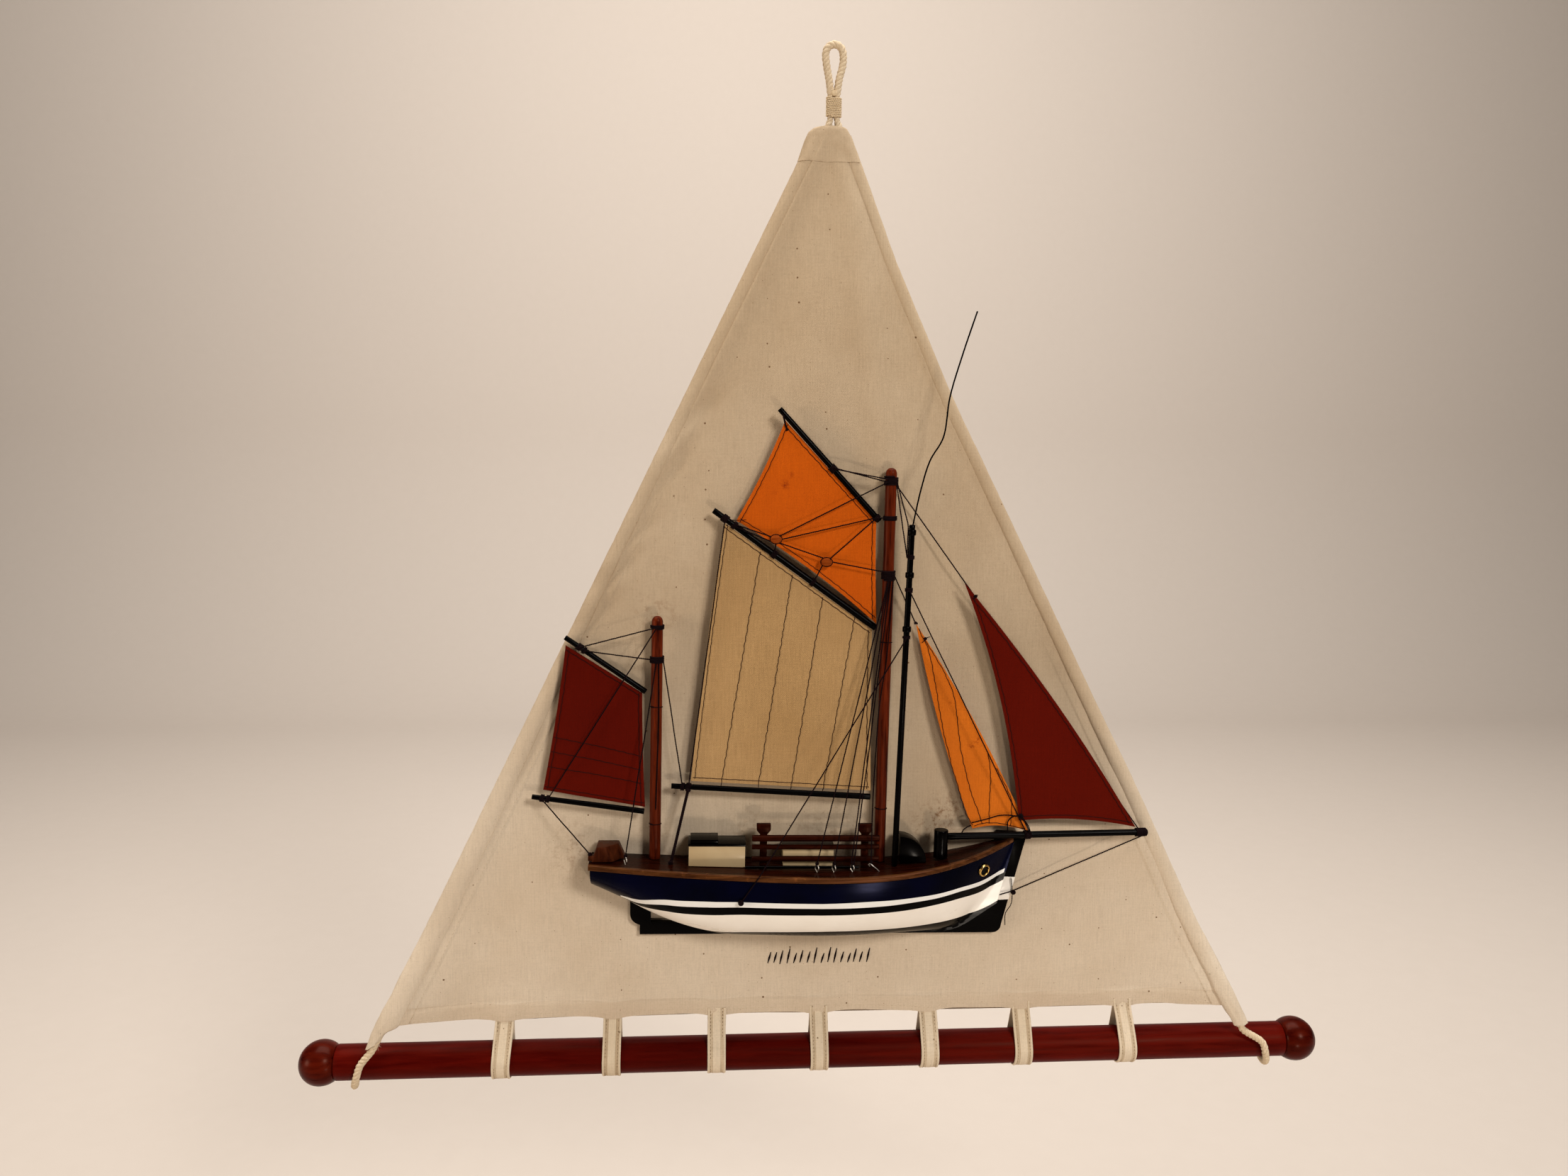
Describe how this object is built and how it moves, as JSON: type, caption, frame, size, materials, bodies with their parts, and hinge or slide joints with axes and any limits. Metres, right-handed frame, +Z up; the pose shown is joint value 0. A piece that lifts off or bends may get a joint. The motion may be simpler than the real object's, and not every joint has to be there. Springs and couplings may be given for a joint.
{
  "type": "ship half hull model wall hanging",
  "caption": "Half hull sailing model with masts, sails and rigging, mounted on a triangular canvas that hangs from a rope eye, with a wooden rod in canvas loops along its foot.",
  "frame": {"origin": "inner top of the rope eye, where the hook it hangs on bears", "axes": "+X to the viewer's right along the rod, +Y back to the wall, +Z up"},
  "size_m": [0.752, 0.063, 0.7325],
  "materials": {
    "canvas": "matt woven cotton, cream, with age spots",
    "rope": "matt three strand cotton",
    "rod_wood": "dark mahogany stain, satin",
    "ball_wood": "red brown stain, gloss",
    "navy_paint": "navy, black and white gloss paint",
    "black_paint": "black paint, satin",
    "white_paint": "cream white paint, satin",
    "deck_wood": "brown stain, satin",
    "mast_wood": "mahogany stain, satin",
    "block_wood": "orange brown stain",
    "brass": "polished, a little dull",
    "steel": "bare wire",
    "thread": "matt black brown thread",
    "orange_cloth": "matt woven cotton",
    "red_cloth": "matt woven cotton",
    "linen_cloth": "matt woven linen"
  },
  "bodies": {
    "root": {"hanging_rope": "rope", "eye_whipping": "rope", "canvas": "canvas", "rod": "rod_wood", "ball_end_left": "ball_wood", "ball_end_right": "ball_wood", "rod_loop_1": "canvas", "rod_loop_2": "canvas", "rod_loop_3": "canvas", "rod_loop_4": "canvas", "rod_loop_5": "canvas", "rod_loop_6": "canvas", "rod_loop_7": "canvas", "hull": "navy_paint", "deck": "deck_wood", "keel_board": "black_paint", "stern_bench": "deck_wood", "deckhouse": "white_paint", "deckhouse_roof": "black_paint", "midship_hatch": "white_paint", "hatch_lid": "black_paint", "rack_post_1": "deck_wood", "rack_post_2": "deck_wood", "rack_spar_1": "deck_wood", "rack_spar_2": "deck_wood", "rack_spar_3": "deck_wood", "rack_sill": "black_paint", "fore_hatch": "black_paint", "bollard": "black_paint", "stem_chock": "black_paint", "hawse_eyelet": "brass", "main_mast": "mast_wood", "mizzen_mast": "mast_wood", "pole": "black_paint", "main_gaff": "black_paint", "main_boom": "black_paint", "topsail_yard": "black_paint", "mizzen_gaff": "black_paint", "mizzen_boom": "black_paint", "bowsprit": "black_paint", "mainsail": "linen_cloth", "topsail": "orange_cloth", "mizzen_sail": "red_cloth", "jib": "red_cloth", "staysail": "orange_cloth", "peak_block_1": "block_wood", "peak_block_2": "block_wood", "peak_lines": "thread", "boom_lines": "thread", "deck_eye_1": "steel", "deck_eye_2": "steel", "deck_eye_3": "steel", "mizzen_deck_eye": "steel", "main_shrouds": "thread", "head_stays": "thread", "pole_stay": "thread", "bobstay": "thread", "long_fall": "thread", "mizzen_lines": "thread"}
  },
  "joints": []
}
